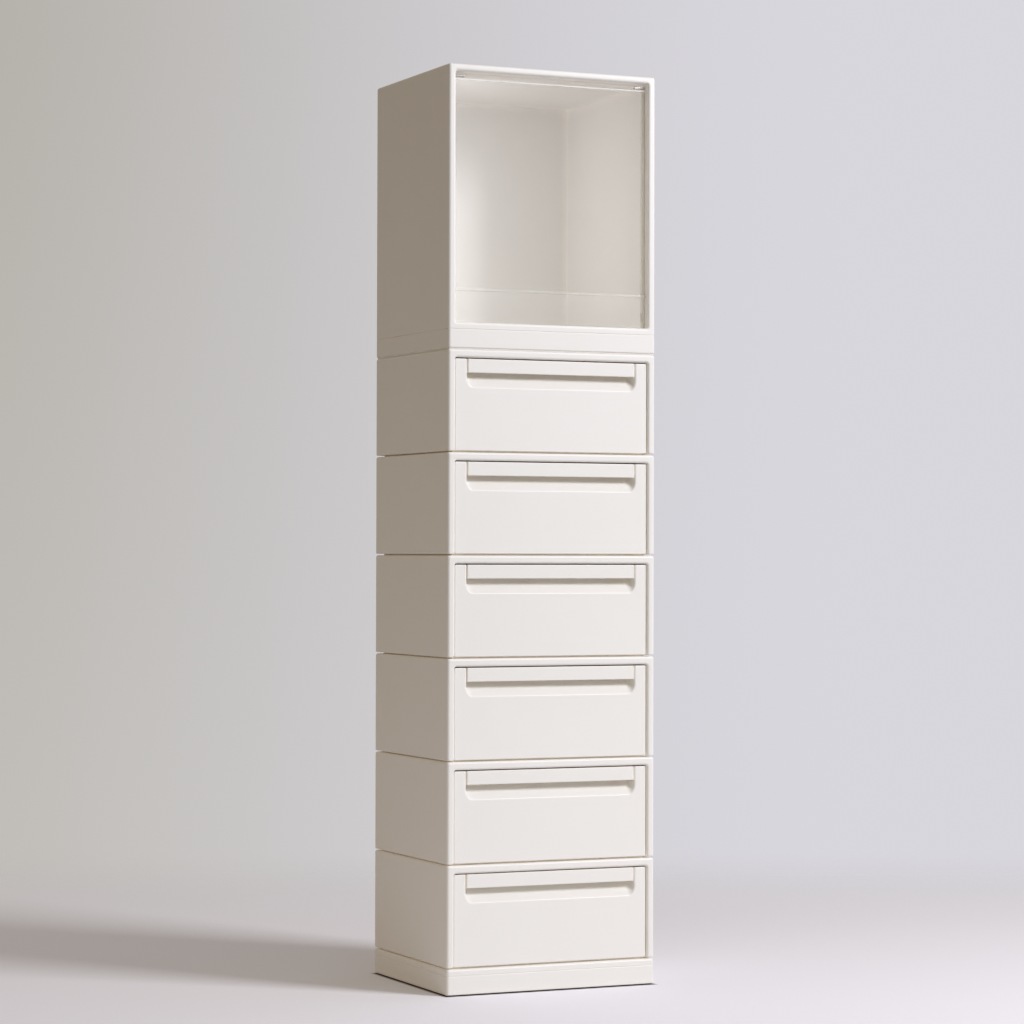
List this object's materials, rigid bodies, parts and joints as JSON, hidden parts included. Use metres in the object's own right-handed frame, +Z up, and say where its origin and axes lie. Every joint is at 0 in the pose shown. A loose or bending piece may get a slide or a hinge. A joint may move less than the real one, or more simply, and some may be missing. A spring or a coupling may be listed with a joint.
{
  "type": "drawer tower",
  "caption": "Narrow free-standing tower of stacked drawer units with scooped handles, on a plinth, topped by a display box with a clear lift-up door.",
  "frame": {"origin": "on the floor under the middle of the tower", "axes": "+Z up, the drawers open towards -Y, +X to the right as seen from the front"},
  "size_m": [0.242, 0.202, 0.975],
  "materials": {
    "shell": "fine satin, warm white",
    "front": "fine satin, warm white",
    "bar": "fine satin, warm white",
    "tray": "matt, warm white",
    "clear": "polished, clear",
    "foot": "matt, pale grey",
    "screw": "zinc plated",
    "pin": "ground steel"
  },
  "bodies": {
    "tower": {"floor_feet": "foot", "base_plinth": "shell", "base_screws": "screw", "base_plate": "shell", "case_1": "shell", "case_2": "shell", "case_3": "shell", "case_4": "shell", "case_5": "shell", "case_6": "shell", "display_plinth": "shell", "display_screws": "screw", "display_case": "shell", "hinge_pins": "pin"},
    "drawer_1": {"drawer_tray_1": "tray", "drawer_front_1": "front", "handle_bar_1": "bar", "front_screws_1": "screw"},
    "drawer_2": {"drawer_tray_2": "tray", "drawer_front_2": "front", "handle_bar_2": "bar", "front_screws_2": "screw"},
    "drawer_3": {"drawer_tray_3": "tray", "drawer_front_3": "front", "handle_bar_3": "bar", "front_screws_3": "screw"},
    "drawer_4": {"drawer_tray_4": "tray", "drawer_front_4": "front", "handle_bar_4": "bar", "front_screws_4": "screw"},
    "drawer_5": {"drawer_tray_5": "tray", "drawer_front_5": "front", "handle_bar_5": "bar", "front_screws_5": "screw"},
    "drawer_6": {"drawer_tray_6": "tray", "drawer_front_6": "front", "handle_bar_6": "bar", "front_screws_6": "screw"},
    "door": {"clear_door": "clear"}
  },
  "joints": [
    {"name": "drawer_1_slide", "type": "slide", "parent": "tower", "child": "drawer_1", "axis": [0, -1, 0], "range_m": [0, 0.14]},
    {"name": "drawer_2_slide", "type": "slide", "parent": "tower", "child": "drawer_2", "axis": [0, -1, 0], "range_m": [0, 0.14]},
    {"name": "drawer_3_slide", "type": "slide", "parent": "tower", "child": "drawer_3", "axis": [0, -1, 0], "range_m": [0, 0.14]},
    {"name": "drawer_4_slide", "type": "slide", "parent": "tower", "child": "drawer_4", "axis": [0, -1, 0], "range_m": [0, 0.14]},
    {"name": "drawer_5_slide", "type": "slide", "parent": "tower", "child": "drawer_5", "axis": [0, -1, 0], "range_m": [0, 0.14]},
    {"name": "drawer_6_slide", "type": "slide", "parent": "tower", "child": "drawer_6", "axis": [0, -1, 0], "range_m": [0, 0.14]},
    {"name": "door_hinge", "type": "hinge", "parent": "tower", "child": "door", "pos_m": [0, -0.0915, 0.9637], "axis": [-1, 0, 0], "range_deg": [0, 90]}
  ]
}
